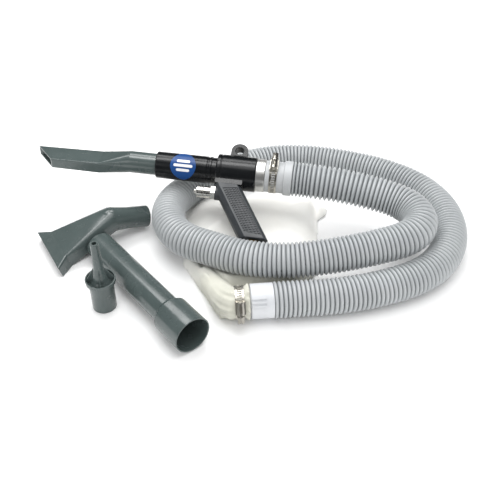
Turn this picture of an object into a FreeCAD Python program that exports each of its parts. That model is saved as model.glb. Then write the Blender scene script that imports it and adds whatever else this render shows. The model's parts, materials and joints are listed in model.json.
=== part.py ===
import FreeCAD, Part
import math
import os

# Compressed-air vacuum gun kit: gun, crevice nozzle, ribbed hose, dust bag and three loose nozzles.
# Millimetres, +Z up, floor at z = 0. The kit is laid out on the floor as it is stored and shown.

V = FreeCAD.Vector

# ---- driving dimensions ------------------------------------------------------------------------
HOSE_OD = 47.0
HOSE_WALL = 2.1
SPIGOT_R = 15.4          # nozzles: outside radius of the part that pushes into a 31 mm bore
TUBE_BORE_R = SPIGOT_R + 0.08      # gun muzzle and extension tube: bore that takes a spigot
TUBE_R = 19.0            # gun suction tube and extension tube, outside
HOUSING_R = 24.2
HOUSING_LENGTH = 55.0
MUZZLE_LENGTH = 86.0     # suction tube in front of the housing
SPIGOT_DEPTH = 32.0      # how far the crevice nozzle pushes into the muzzle
OUTLET_R = 22.7          # metal outlet collar behind the housing
CLEARANCE = 0.05         # between pieces pushed into each other
KIT_CENTRE = V(-94.7, -89.5, 0)   # middle of everything but the hose, in the layout's own axes

# ---- the gun's pose ----------------------------------------------------------------------------
GUN_SEAM = V(-45.5, 23.5, 80.0)   # where the suction tube enters the housing, on the barrel axis
GUN_YAW = -7.65
GUN_PITCH = 2.0                   # muzzle slightly up
GUN_ROLL = -70.0                  # the grip lies towards the front, 20 degrees below level

# ---- the hose's route, from the cuff to the bag connector ----------------------------------------
HOSE_ROUTE = [
    (58.9, 9.48, 76.32), (98.6, 4.15, 74.92), (152, -8, 71), (202, -25, 66), (223.5, -47, 64),
    (228, -74, 62), (209, -98, 59), (154, -113, 54), (100, -123, 49.5), (45, -127, 46),
    (-8, -119, 43), (-52, -96, 40), (-90, -76, 38), (-112, -44, 36), (-116, 2, 34),
    (-95, 42, 31), (-55, 83, 27), (-4, 120, 24), (62, 137, 24), (130, 125, 24),
    (195, 101, 24), (248, 63, 24), (276, 13, 24), (280, -42, 24), (263, -92, 24),
    (227, -131, 24), (170, -155, 24), (114, -168.5, 24), (65, -172.6, 24), (29.2, -175.9, 24),
]


def cylinder(radius, x0, x1):
    """A cylinder along X from x0 to x1."""
    return Part.makeCylinder(radius, x1 - x0, V(x0, 0, 0), V(1, 0, 0))


def tube(outer, inner, x0, x1):
    return cylinder(outer, x0, x1).cut(cylinder(inner, x0 - 1, x1 + 1))


def lathe(profile, axis=V(1, 0, 0)):
    """Turn a closed (along, radius) outline about X, or about Z."""
    if axis.z:
        points = [V(r, 0, a) for a, r in profile]
    else:
        points = [V(a, 0, r) for a, r in profile]
    wire = Part.makePolygon(points + points[:1])
    return Part.Face(wire).revolve(V(0, 0, 0), axis, 360)


def hexagon(across_flats, length, start, direction):
    """A hex prism from start along direction."""
    corner = across_flats / math.sqrt(3)
    points = [V(corner * math.cos(math.radians(60 * i)), corner * math.sin(math.radians(60 * i)), 0)
              for i in range(7)]
    prism = Part.Face(Part.makePolygon(points)).extrude(V(0, 0, length))
    prism.Placement = FreeCAD.Placement(start, FreeCAD.Rotation(V(0, 0, 1), direction))
    return prism


def placement(origin, yaw=0, pitch=0, roll=0):
    return FreeCAD.Placement(origin, FreeCAD.Rotation(yaw, pitch, roll))


def moved(shape, where):
    copy = shape.copy()
    copy.Placement = where.multiply(copy.Placement)
    return copy


GUN = placement(GUN_SEAM, GUN_YAW, GUN_PITCH, GUN_ROLL)

# ---- gun: housing, suction tube, ejector, outlet --------------------------------------------------
TUBE_SEAT = 14.0         # depth of the suction tube inside the housing
GALLERY_R = 21.0         # air gallery bore round the jet ring
GALLERY_END = 36.0
OUTLET_THREAD_R = 19.5
LUG_X = 27.0
LUG_Z = 33.6
LUG_R = 11.9
LUG_HOLE_R = 6.3
LUG_HALF = 6.5
SADDLE_X = (0.5, 38.5)
SADDLE_HALF = 13.6
SADDLE_Z = -27.5         # flat underside that the grip butts against
NIPPLE_X = 25.0


def valve_spot_face():
    """Room for the valve's nut, cut into the front of the grip and the saddle."""
    room = cylinder(SPOT_FACE_R, VALVE_TIP, VALVE_NUT[1])
    room.translate(V(0, 0, VALVE_Z))
    return room


def gun_housing():
    body = lathe([(1.2, 0), (0, 0), (0, HOUSING_R - 1.2), (1.2, HOUSING_R), (5.2, HOUSING_R),
                  (5.8, HOUSING_R - 0.5), (6.8, HOUSING_R - 0.5), (7.4, HOUSING_R),
                  (HOUSING_LENGTH - 1, HOUSING_R), (HOUSING_LENGTH, HOUSING_R - 1),
                  (HOUSING_LENGTH, 0)])
    web = Part.makeBox(2 * LUG_R, 2 * LUG_HALF, LUG_Z, V(LUG_X - LUG_R, -LUG_HALF, 0))
    eye = Part.makeCylinder(LUG_R, 2 * LUG_HALF, V(LUG_X, -LUG_HALF, LUG_Z), V(0, 1, 0))
    saddle = Part.makeBox(SADDLE_X[1] - SADDLE_X[0], 2 * SADDLE_HALF, -SADDLE_Z,
                          V(SADDLE_X[0], -SADDLE_HALF, SADDLE_Z))
    body = body.fuse([web, eye, saddle])
    bores = [
        cylinder(TUBE_R - 1 + CLEARANCE, -1, TUBE_SEAT),
        cylinder(GALLERY_R, TUBE_SEAT, GALLERY_END),
        cylinder(OUTLET_THREAD_R + CLEARANCE, GALLERY_END, HOUSING_LENGTH + 1),
        Part.makeCylinder(LUG_HOLE_R, 40, V(LUG_X, -20, LUG_Z), V(0, 1, 0)),
        Part.makeCylinder(5 + CLEARANCE, 12, V(NIPPLE_X, 0, SADDLE_Z - 1), V(0, 0, 1)),
        valve_spot_face(),
    ]
    return body.cut(bores).removeSplitter()


def suction_tube():
    """Front tube: it takes the nozzle spigot and feeds the ejector."""
    m = -MUZZLE_LENGTH
    shell = lathe([
        (m, TUBE_BORE_R + 0.5), (m, TUBE_R - 0.9), (m + 0.8, TUBE_R - 0.3), (-14, TUBE_R),
        (-13.2, TUBE_R - 0.8), (-11.4, TUBE_R - 0.8), (-10.6, TUBE_R), (-8, TUBE_R),
        (-7.2, TUBE_R - 0.9), (-0.8, TUBE_R - 0.9), (-0.8, TUBE_R + 0.6), (0, TUBE_R + 0.6),
        (0, TUBE_R - 1), (TUBE_SEAT, TUBE_R - 1), (TUBE_SEAT, 13.0),
        (m + SPIGOT_DEPTH + 2, 13.0), (m + SPIGOT_DEPTH + 1, TUBE_BORE_R), (m + 0.5, TUBE_BORE_R),
    ])
    rib = Part.makeBox(26, 2.0, 2.6, V(-31, -1.0, TUBE_R - 1.6))
    rib.rotate(V(0, 0, 0), V(1, 0, 0), 154)
    return shell.fuse(rib).removeSplitter()


JET_COUNT = 8


def jet_ring():
    """Ejector ring: air from its outer groove leaves through slanted jets towards the hose."""
    r = GALLERY_R - CLEARANCE
    x0 = TUBE_SEAT
    x1 = GALLERY_END
    ring = lathe([
        (x0, 13.0), (x0, r), (x0 + 1.5, r), (x0 + 1.5, r - 2), (x0 + 3.7, r - 2), (x0 + 3.7, r),
        (x0 + 5.2, r), (x0 + 5.2, 17.0), (x1 - 5.2, 17.0), (x1 - 5.2, r), (x1 - 3.7, r),
        (x1 - 3.7, r - 2), (x1 - 1.5, r - 2), (x1 - 1.5, r), (x1, r), (x1, 16.0), (x1 - 8, 13.0),
    ])
    jets = []
    for i in range(JET_COUNT):
        jet = Part.makeCylinder(0.8, 16, V(x0 + 7, 0, 18.5), V(math.cos(0.42), 0, -math.sin(0.42)))
        jet.rotate(V(0, 0, 0), V(1, 0, 0), 360 * i / JET_COUNT)
        jets.append(jet)
    return ring.cut(jets)


def gallery_o_rings():
    """Two O-rings that seal the gallery on each side of the jet ring's groove."""
    rings = []
    for x in (TUBE_SEAT + 2.6, GALLERY_END - 2.6):
        ring = Part.makeTorus(GALLERY_R - 1.05, 0.95, V(x, 0, 0), V(1, 0, 0))
        rings.append(ring)
    return Part.makeCompound(rings)


COLLAR_END = HOUSING_LENGTH + 12.8
SPIGOT_TAIL_R = 19.0
CUFF_STEP = 94.0
CUFF_END = 105.4
CUFF_R = 21.8


def outlet_collar():
    """Metal outlet: threaded into the housing, with a plain collar and a spigot for the cuff."""
    return lathe([
        (GALLERY_END, 16.0), (GALLERY_END, OUTLET_THREAD_R), (HOUSING_LENGTH, OUTLET_THREAD_R),
        (HOUSING_LENGTH, OUTLET_R - 0.5), (HOUSING_LENGTH + 0.5, OUTLET_R),
        (COLLAR_END - 0.6, OUTLET_R), (COLLAR_END, OUTLET_R - 0.6), (COLLAR_END, SPIGOT_TAIL_R),
        (CUFF_STEP - 5, SPIGOT_TAIL_R), (CUFF_STEP - 4, SPIGOT_TAIL_R - 1), (CUFF_STEP - 4, 17.0),
    ])


def hose_cuff():
    bore = SPIGOT_TAIL_R + CLEARANCE
    return lathe([
        (COLLAR_END, bore), (COLLAR_END, CUFF_R - 0.5), (COLLAR_END + 0.5, CUFF_R),
        (CUFF_STEP - 0.6, CUFF_R), (CUFF_STEP, CUFF_R + 0.4), (CUFF_STEP, HOUSING_R - 0.6),
        (CUFF_STEP + 0.6, HOUSING_R), (CUFF_END - 0.8, HOUSING_R), (CUFF_END, HOUSING_R - 0.8),
        (CUFF_END, bore),
    ])


BADGE_X = -46.4
BADGE_R = 18.0
BADGE_ANGLE = 63.0       # round the tube, from the grip's side towards the front


def badge():
    """A thin round label wrapped on the suction tube."""
    skin = tube(TUBE_R + 0.5, TUBE_R + 0.02, BADGE_X - BADGE_R - 5, BADGE_X + BADGE_R + 5)
    disc = Part.makeCylinder(BADGE_R, 40, V(BADGE_X, 0, 0), V(0, 0, -1))
    label = skin.common(disc)
    label.rotate(V(0, 0, 0), V(1, 0, 0), -BADGE_ANGLE)
    return label


# ---- gun: grip, push valve, inlet -----------------------------------------------------------------
GRIP_FRONT = -1.3        # front edge of the grip at the saddle, along the barrel
GRIP_LONG = 38.3         # along the barrel
GRIP_HALF = 14.0
GRIP_DROP = 80.0         # from the saddle down, square to the barrel
GRIP_LEAN = 30.9
PANEL_DEEP = 0.9
VALVE_Z = -37.0
VALVE_NUT = (-3.4, 2.6)
VALVE_TIP = -23.6        # front face of the valve body
VALVE_R = 8.1
SPOT_FACE_R = 10.8
VALVE_SHANK_R = 6.0
VALVE_END = 19.0         # rear end of the threaded shank
BUTTON_TIP = -27.2
BUTTON_SHOULDER = -17.0  # the spring pushes here
SPRING_SEAT = -7.5
BUTTON_R = 4.2
STEM_R = 1.8
SEAT_X = 12.5
SEAL_THICK = 2.1
INLET_DEEP = 14.0
INLET_LIP = 3.0          # thickness of the bush's hexagon, outside the grip's foot
INLET_R = 8.5
INLET_THREAD_R = 5.7


def lean_at(drop):
    """How far back the grip has moved at a given drop below the saddle."""
    return drop * math.tan(math.radians(GRIP_LEAN))


def grip_section():
    """The grip's outline square to its length: a long octagon with a narrow front."""
    x0 = GRIP_FRONT
    x1 = GRIP_FRONT + GRIP_LONG
    y = GRIP_HALF
    points = [(x0, y - 7.5), (x0 + 6.6, y), (x1 - 5.5, y), (x1, y - 5.5)]
    points += [(px, -py) for px, py in reversed(points)]
    return [V(px, py, SADDLE_Z) for px, py in points]


def grip():
    points = grip_section()
    lean = V(lean_at(GRIP_DROP), 0, -GRIP_DROP)
    body = Part.Face(Part.makePolygon(points + points[:1])).extrude(lean)
    for side in (-1, 1):
        y = side * GRIP_HALF
        x0 = GRIP_FRONT + 10
        x1 = GRIP_FRONT + GRIP_LONG - 7
        corners = []
        for x, drop in ((x0, 8), (x1, 5), (x1, GRIP_DROP - 5), (x0, GRIP_DROP - 8)):
            corners.append(V(x + lean_at(drop), y - side * PANEL_DEEP, SADDLE_Z - drop))
        recess = Part.Face(Part.makePolygon(corners + corners[:1])).extrude(V(0, side * 3, 0))
        body = body.cut(recess)
    boss = cylinder(9.5, VALVE_NUT[1], 16)
    boss.translate(V(0, 0, VALVE_Z))
    body = body.fuse(boss)
    chamber = cylinder(VALVE_SHANK_R + CLEARANCE, -20, VALVE_END).fuse(cylinder(4.6, 17, 24))
    chamber.translate(V(0, 0, VALVE_Z))
    riser = Part.makeCylinder(5 + CLEARANCE, 30, V(NIPPLE_X, 0, SADDLE_Z - 8), V(0, 0, 1))
    drill = Part.makeCylinder(2.6, 12, V(NIPPLE_X - 2, 0, VALVE_Z), V(0, 0, 1))
    up = V(0, 0, INLET_DEEP)
    bush_hole = Part.makeCylinder(INLET_R + CLEARANCE, 2 * INLET_DEEP, grip_foot() - up)
    channel_end = V(NIPPLE_X - 4, 0, VALVE_Z - 1)
    channel_start = grip_foot() + up * 0.8
    run = channel_end - channel_start
    channel = Part.makeCylinder(3.6, run.Length, channel_start, run)
    return body.cut([valve_spot_face(), chamber, riser, drill, bush_hole, channel]).removeSplitter()


def grip_foot():
    """The middle of the grip's foot."""
    return V(GRIP_FRONT + GRIP_LONG / 2 + lean_at(GRIP_DROP), 0, SADDLE_Z - GRIP_DROP)


def inlet_bush():
    """Brass bush with the thread for the air line's plug, square to the foot of the grip."""
    down = V(0, 0, -1)
    body = Part.makeCylinder(INLET_R, INLET_DEEP, grip_foot() - down * INLET_DEEP, down)
    lip = hexagon(19.0, INLET_LIP, grip_foot(), down)
    bore = Part.makeCylinder(INLET_THREAD_R, 60, grip_foot() - down * 30, down)
    return body.fuse(lip).cut(bore).removeSplitter()


def air_nipple():
    """Hollow threaded nipple that holds the grip to the housing and carries the air up."""
    outer = Part.makeCylinder(5.0, 15.5, V(NIPPLE_X, 0, SADDLE_Z - 7.5), V(0, 0, 1))
    return outer.cut(Part.makeCylinder(2.8, 30, V(NIPPLE_X, 0, SADDLE_Z - 15), V(0, 0, 1)))


def valve_nut():
    nut = hexagon(17.6, VALVE_NUT[1] - VALVE_NUT[0], V(VALVE_NUT[0], 0, VALVE_Z), V(1, 0, 0))
    hole = cylinder(6 + CLEARANCE, -40, 40)
    hole.translate(V(0, 0, VALVE_Z))
    return nut.cut(hole)


def valve_body():
    """Cartridge of the push valve: barrel outside, threaded shank inside the grip."""
    r = VALVE_R
    groove = (VALVE_TIP + 9.0, VALVE_TIP + 10.6)
    bore = BUTTON_R + 0.3
    shape = lathe([
        (VALVE_TIP, bore), (VALVE_TIP, r - 0.8), (VALVE_TIP + 0.8, r), (groove[0], r),
        (groove[0] + 0.3, r - 0.4), (groove[1] - 0.3, r - 0.4), (groove[1], r),
        (VALVE_NUT[0] - 0.8, r), (VALVE_NUT[0], r - 0.7), (VALVE_NUT[0], VALVE_SHANK_R),
        (VALVE_END - 0.5, VALVE_SHANK_R), (VALVE_END - 0.5, 4.6), (SEAT_X, 4.6),
        (SEAT_X, STEM_R + 0.5), (SPRING_SEAT, STEM_R + 0.5), (SPRING_SEAT, bore),
    ])
    port = Part.makeCylinder(1.6, 9, V(SEAT_X - 5.0, 0, 0), V(0, 0, 1))
    shape = shape.cut(port)
    shape.translate(V(0, 0, VALVE_Z))
    return shape


def trigger_button():
    """Push button: the finger presses its nose, and its stem lifts the seal off the seat."""
    stem_end = SEAT_X + SEAL_THICK
    shape = lathe([
        (BUTTON_TIP, 0), (BUTTON_TIP, 2.8), (BUTTON_TIP + 0.9, 3.6), (BUTTON_TIP + 2.4, 3.6),
        (BUTTON_TIP + 2.6, BUTTON_R), (BUTTON_SHOULDER, BUTTON_R), (BUTTON_SHOULDER, STEM_R),
        (stem_end, STEM_R), (stem_end, 0),
    ])
    shape.translate(V(0, 0, VALVE_Z))
    return shape


def valve_seal():
    """Ring on the stem, closed on the seat until the button is pressed."""
    seal = tube(4.1, STEM_R, SEAT_X + 0.1, SEAT_X + SEAL_THICK)
    seal.translate(V(0, 0, VALVE_Z))
    return seal


SPRING_TURNS = 6


def valve_spring():
    """Return spring of the button, drawn as a thin wavy sleeve."""
    pitch = (SPRING_SEAT - BUTTON_SHOULDER) / SPRING_TURNS
    outside = []
    inside = []
    for i in range(SPRING_TURNS):
        x = BUTTON_SHOULDER + pitch * i
        outside += [(x, 3.1), (x + pitch / 2, 3.6)]
        inside += [(x, 2.7), (x + pitch / 2, 3.2)]
    outside.append((SPRING_SEAT, 3.1))
    inside.append((SPRING_SEAT, 2.7))
    sleeve = lathe(outside + inside[::-1])
    sleeve.translate(V(0, 0, VALVE_Z))
    return sleeve


# ---- worm-drive hose clamps -----------------------------------------------------------------------
BAND = 0.8
SCREW_R = 3.0
SCREW_LIFT = 4.4         # the screw's axis above the band
BOX_HALF = 8.5


def clamp_band(inner, x0, x1):
    return tube(inner + BAND, inner, x0, x1)


def clamp_box(inner, x0, x1):
    """The screw's housing: a saddle on the band with an arched roof, open at both ends."""
    top = inner + BAND
    mid = (x0 + x1) / 2
    half = (x1 - x0) / 2 + 0.6
    base = Part.makeBox(2 * half, 2 * BOX_HALF, 6, V(mid - half, -BOX_HALF, top - 1.8))
    roof = Part.makeCylinder(4.9, 2 * BOX_HALF, V(mid, -BOX_HALF, top + SCREW_LIFT), V(0, 1, 0))
    tunnel = Part.makeCylinder(SCREW_R + 0.35, 60, V(mid, -30, top + SCREW_LIFT), V(0, 1, 0))
    window = Part.makeBox(3.2, 2 * BOX_HALF - 7, 12, V(mid - 1.6, -BOX_HALF + 3.5, top + SCREW_LIFT))
    band = cylinder(top, x0 - 5, x1 + 5)
    return base.fuse(roof).cut([tunnel, band, window]).removeSplitter()


def clamp_screw(inner, x0, x1):
    """Worm screw with a grooved shank, a flange and a slotted hex head."""
    mid = (x0 + x1) / 2
    z = inner + BAND + SCREW_LIFT
    pitch = 1.7
    outline = [(-BOX_HALF, 0), (-BOX_HALF, SCREW_R - 0.5)]
    turns = int(2 * (BOX_HALF - 1) / pitch)
    for i in range(turns):
        y = -BOX_HALF + 0.6 + pitch * i
        outline += [(y, SCREW_R), (y + 0.7, SCREW_R), (y + 0.95, SCREW_R - 0.5),
                    (y + 1.45, SCREW_R - 0.5)]
    outline += [(BOX_HALF + 1.2, SCREW_R - 0.5), (BOX_HALF + 1.2, 4.8), (BOX_HALF + 2.8, 4.8),
                (BOX_HALF + 2.8, 0)]
    screw = lathe(outline)
    head = hexagon(7.8, 7.0, V(BOX_HALF + 2.8, 0, 0), V(1, 0, 0))
    slot = Part.makeBox(2.2, 1.2, 12, V(BOX_HALF + 8.2, -0.6, -6))
    screw = screw.fuse(head).cut(slot).removeSplitter()
    screw.Placement = FreeCAD.Placement(V(mid, 0, z), FreeCAD.Rotation(V(1, 0, 0), V(0, 1, 0)))
    return screw


FRONT_CLAMP = (CUFF_R + CLEARANCE, 74.2, 84.6)
BAG_CLAMP = (20.6, 37.2, 48.6)
FRONT_AT = GUN.multiply(placement(V(0, 0, 0), 0, 0, 84))     # the screw box is on top of the cuff

# ---- bag connector and bag ------------------------------------------------------------------------
CONNECTOR_END = V(29.2, -175.9, 24.0)
CONNECTOR_YAW = 5.3
CONNECTOR = placement(CONNECTOR_END, CONNECTOR_YAW)
CONNECTOR_LONG = 29.0
CONNECTOR_R = 22.6
NECK_BORE_R = 18.0
TAIL_END = 54.0          # how far the connector's tail reaches into the bag
BAG_AT = CONNECTOR.multiply(placement(V(0, 0, 0), 180, 0, -62))  # screw box low at the front


def bag_connector():
    """White coupling between hose and bag, with raised ribs and a tail inside the bag's neck."""
    body = lathe([
        (0, 17.0), (0, CONNECTOR_R - 0.5), (-0.5, CONNECTOR_R), (-28, CONNECTOR_R),
        (-CONNECTOR_LONG, CONNECTOR_R - 1), (-CONNECTOR_LONG, NECK_BORE_R),
        (2 - TAIL_END, NECK_BORE_R), (-TAIL_END, NECK_BORE_R - 1), (-TAIL_END, 16.0), (-4, 16.0),
    ])
    ribs = []
    for i in range(3):
        rib = Part.makeBox(18, 2.2, 2.6, V(-28, -1.1, CONNECTOR_R - 1.2))
        rib.rotate(V(0, 0, 0), V(1, 0, 0), 38 + 12.5 * i)
        ribs.append(rib)
    return body.fuse(ribs).removeSplitter()


def slab(points, height, z=0.0):
    corners = [V(x, y, z) for x, y in points]
    return Part.Face(Part.makePolygon(corners + corners[:1])).extrude(V(0, 0, height))


def dust_bag():
    """Cloth bag lying flat under the gun, drawn as a low stepped pad with a round neck."""
    sheet = slab([(-40, -188), (-92, -88), (-100, -10), (-95, 50), (-62, 62), (92, 60), (116, 32),
                  (101, 8), (96, -100), (60, -146), (-8, -152), (-30, -158), (-30, -188)], 5.0)
    middle = slab([(-40, -172), (-76, -94), (-70, 10), (-64, 30), (-50, 44), (84, 50), (88, -92),
                   (56, -138), (-10, -146), (-32, -160)], 14.0)
    crown = slab([(-44, -66), (-52, -20), (-46, 26), (60, 32), (70, -56), (54, -78), (-14, -84)], 23.0)
    neck = lathe([(-80, 0), (-80, 20.0), (-49, 20.5), (-37, 20.5), (-30.2, 22.6), (-29.4, 22.6),
                  (-29.4, NECK_BORE_R + CLEARANCE), (-TAIL_END - 1, NECK_BORE_R + CLEARANCE),
                  (-TAIL_END - 1, 0)])
    shoulder = slab([(-44, -186), (-58, -162), (-54, -148), (-38, -152), (-36, -186)], 27.0)
    inside = moved(cylinder(NECK_BORE_R + CLEARANCE, -TAIL_END - 1, 0), CONNECTOR)
    bag = sheet.fuse([middle, crown, shoulder]).cut(inside)
    return bag.fuse(moved(neck, CONNECTOR)).removeSplitter()


# ---- hose -----------------------------------------------------------------------------------------
def hose_path(points):
    """Straight runs joined by tangent arcs. Returns the wire and the arcs' radii."""
    edges = []
    radii = []
    start = points[0]
    for before, corner, after in zip(points, points[1:], points[2:]):
        a = (before - corner)
        b = (after - corner)
        trim = 0.45 * min(a.Length, b.Length)
        turn = math.pi - a.getAngle(b)
        a.normalize()
        b.normalize()
        p = corner + a * trim
        q = corner + b * trim
        radius = trim / math.tan(turn / 2)
        middle = (a + b).normalize()
        bulge = corner + middle * (radius / math.cos(turn / 2) - radius)
        edges.append(Part.LineSegment(start, p).toShape())
        edges.append(Part.Arc(p, bulge, q).toShape())
        radii.append(radius)
        start = q
    edges.append(Part.LineSegment(start, points[-1]).toShape())
    return Part.Wire(edges), radii


def hose():
    points = [V(*p) for p in HOSE_ROUTE]
    path, radii = hose_path(points)
    direction = points[1] - points[0]
    outer = Part.Wire(Part.makeCircle(HOSE_OD / 2, points[0], direction))
    inner = Part.Wire(Part.makeCircle(HOSE_OD / 2 - HOSE_WALL, points[0], direction))
    solids = [path.makePipeShell([ring], True, False) for ring in (outer, inner)]
    shape = solids[0].cut(solids[1])
    section = math.pi * ((HOSE_OD / 2) ** 2 - (HOSE_OD / 2 - HOSE_WALL) ** 2)
    print("hose length %.0f mm, arc radii %s" % (path.Length, [round(r) for r in radii]))
    print("hose volume %.0f, section x length %.0f" % (shape.Volume, section * path.Length))
    return shape


# ---- nozzles --------------------------------------------------------------------------------------
def rounded_box_wire(half_wide, half_thick, corner, x, drop=0.0):
    """A rectangle with round corners square to X, as eight edges from the middle of the right side."""
    y = half_wide - corner
    z = half_thick - corner
    edges = []
    centres = [(y, z), (-y, z), (-y, -z), (y, -z)]
    for i, (cy, cz) in enumerate(centres):
        first = math.radians(90 * i)
        ends = [V(x, cy + corner * math.cos(first + t), cz + corner * math.sin(first + t) - drop)
                for t in (0, math.pi / 4, math.pi / 2)]
        edges.append(Part.Arc(*ends).toShape())
        ny, nz = centres[(i + 1) % 4]
        turn = first + math.pi / 2
        following = V(x, ny + corner * math.cos(turn), nz + corner * math.sin(turn) - drop)
        edges.append(Part.LineSegment(ends[2], following).toShape())
    return Part.Wire(edges)


def circle_wire(radius, x, flat=6.0, drop=0.0):
    """A circle square to X in the same eight edges, with short arcs where the rectangle has sides."""
    short = math.radians(flat)
    edges = []
    for i in range(4):
        first = math.radians(90 * i) + short
        last = math.radians(90 * (i + 1)) - short
        following = math.radians(90 * (i + 1)) + short
        for a, b in ((first, last), (last, following)):
            ends = [V(x, radius * math.cos(t), radius * math.sin(t) - drop)
                    for t in (a, (a + b) / 2, b)]
            edges.append(Part.Arc(*ends).toShape())
    return Part.Wire(edges)


CREVICE_TIP = -MUZZLE_LENGTH - 178.0
CREVICE_HALF_WIDE = 15.2
CREVICE_HALF_THICK = 7.2
CREVICE_DROP = 7.0
CREVICE_WALL = 1.7
CREVICE_SLANT = 28.0
CREVICE = placement(GUN_SEAM, GUN_YAW, GUN_PITCH, 0)


def crevice_core(inset):
    """The crevice nozzle's outside, or its air space when inset by the wall."""
    wide = CREVICE_HALF_WIDE - inset
    thick = CREVICE_HALF_THICK - inset
    flat_end = -MUZZLE_LENGTH - 82.0
    round_start = -MUZZLE_LENGTH - 38.0
    corner = 1.6
    tip = CREVICE_TIP - inset
    duct = Part.makeLoft([rounded_box_wire(wide, thick, corner, tip, CREVICE_DROP),
                          rounded_box_wire(wide + 0.4, thick + 1.2, corner, flat_end,
                                           CREVICE_DROP - 0.8)], True, True)
    change = Part.makeLoft([rounded_box_wire(wide + 0.4, thick + 1.2, corner, flat_end,
                                             CREVICE_DROP - 0.8),
                            circle_wire(SPIGOT_R - inset, round_start)], True, True)
    spigot = cylinder(SPIGOT_R - inset, round_start, -MUZZLE_LENGTH + SPIGOT_DEPTH + inset)
    return duct.fuse([change, spigot])


def crevice_nozzle():
    shape = crevice_core(0).cut(crevice_core(CREVICE_WALL))
    half = CREVICE_HALF_WIDE + 2
    reach = CREVICE_SLANT * half / CREVICE_HALF_WIDE / 2
    middle = CREVICE_TIP + CREVICE_SLANT / 2
    wedge = [V(CREVICE_TIP - 20, half, -30), V(middle - reach, half, -30),
             V(middle + reach, -half, -30), V(CREVICE_TIP - 20, -half, -30)]
    cut = Part.Face(Part.makePolygon(wedge + wedge[:1])).extrude(V(0, 0, 60))
    return shape.cut(cut).removeSplitter()


WIDE_YAW = 30.0
WIDE_RISE = 14.0         # slope of the nozzle's body
WIDE_BEND = V(-195.5, -24.5, 31.5)
WIDE_BODY = 78.0         # from the flared lip to the bend
WIDE_LIP = 17.0
WIDE_NECK = 55.0
WIDE_SPIGOT = 30.0       # cylindrical end of the neck
NECK_FALL = 16.0
WIDE_WALL = 2.0
WIDE = placement(WIDE_BEND, WIDE_YAW, -WIDE_RISE)
WIDE_NECK_AT = placement(WIDE_BEND, WIDE_YAW, NECK_FALL)


def wide_body(inset):
    """Body and flared lip of the wide nozzle, from the bend towards -X."""
    end = -WIDE_BODY
    lip_end = end - WIDE_LIP - (1 if inset else 0)
    bend_wire = circle_wire(17.2 - inset, 4.0, 20.0)
    body_wire = rounded_box_wire(30.5 - inset, 11.5 - inset, 3.0, end, 3.0)
    lip_wire = rounded_box_wire(44.2 - inset, 11.5 - inset, 2.5, lip_end, 3.5)
    body = Part.makeLoft([bend_wire, body_wire], True, True)
    lip = Part.makeLoft([body_wire, lip_wire], True, True)
    return body.fuse(lip)


def wide_neck(inset):
    taper = WIDE_NECK - WIDE_SPIGOT
    reach = WIDE_SPIGOT + (1 if inset else 0)
    neck = Part.makeCone(17.4 - inset, SPIGOT_R - inset, taper, V(0, 0, 0), V(1, 0, 0))
    knuckle = Part.makeSphere(17.3 - inset, V(0, 0, 0))
    return neck.fuse([knuckle, cylinder(SPIGOT_R - inset, taper, taper + reach)])


def wide_nozzle():
    outside = moved(wide_body(0), WIDE).fuse(moved(wide_neck(0), WIDE_NECK_AT))
    inside = moved(wide_body(WIDE_WALL), WIDE).fuse(moved(wide_neck(WIDE_WALL), WIDE_NECK_AT))
    shape = outside.cut(inside)
    floor = Part.makeBox(300, 300, 60, V(-400, -200, -60))
    return shape.cut(floor).removeSplitter()


TUBE_YAW = 128.6
TUBE_LENGTH = 221.0
SOCKET_R = 24.6
SOCKET_BORE_R = 22.9
SOCKET_DEEP = 46.0
TUBE_SLOPE = (SOCKET_R - TUBE_R) / (TUBE_LENGTH - SOCKET_DEEP)   # it rests on socket and far end
TUBE_MOUTH = V(-68.3, -237.5, SOCKET_R + SOCKET_DEEP * TUBE_SLOPE)
TUBE = placement(TUBE_MOUTH, TUBE_YAW, math.degrees(math.asin(TUBE_SLOPE)))


def extension_tube():
    """Straight tube whose flared socket also fits the gun's metal outlet."""
    end = TUBE_LENGTH
    return lathe([
        (0, SOCKET_BORE_R + 0.4), (0, SOCKET_R - 0.3), (0.4, SOCKET_R), (SOCKET_DEEP, SOCKET_R),
        (SOCKET_DEEP + 7, TUBE_R), (end - 0.6, TUBE_R), (end, TUBE_R - 0.6),
        (end, TUBE_BORE_R + 0.4), (end - 0.6, TUBE_BORE_R), (SOCKET_DEEP + 6, TUBE_BORE_R),
        (SOCKET_DEEP - 1, SOCKET_BORE_R), (0.6, SOCKET_BORE_R),
    ])


ADAPTOR_FOOT = V(-187.5, -161.2, 0)
ADAPTOR_HIGH = 105.7
FLANGE_Z = 43.7
ADAPTOR_BORE_R = 2.9


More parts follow.
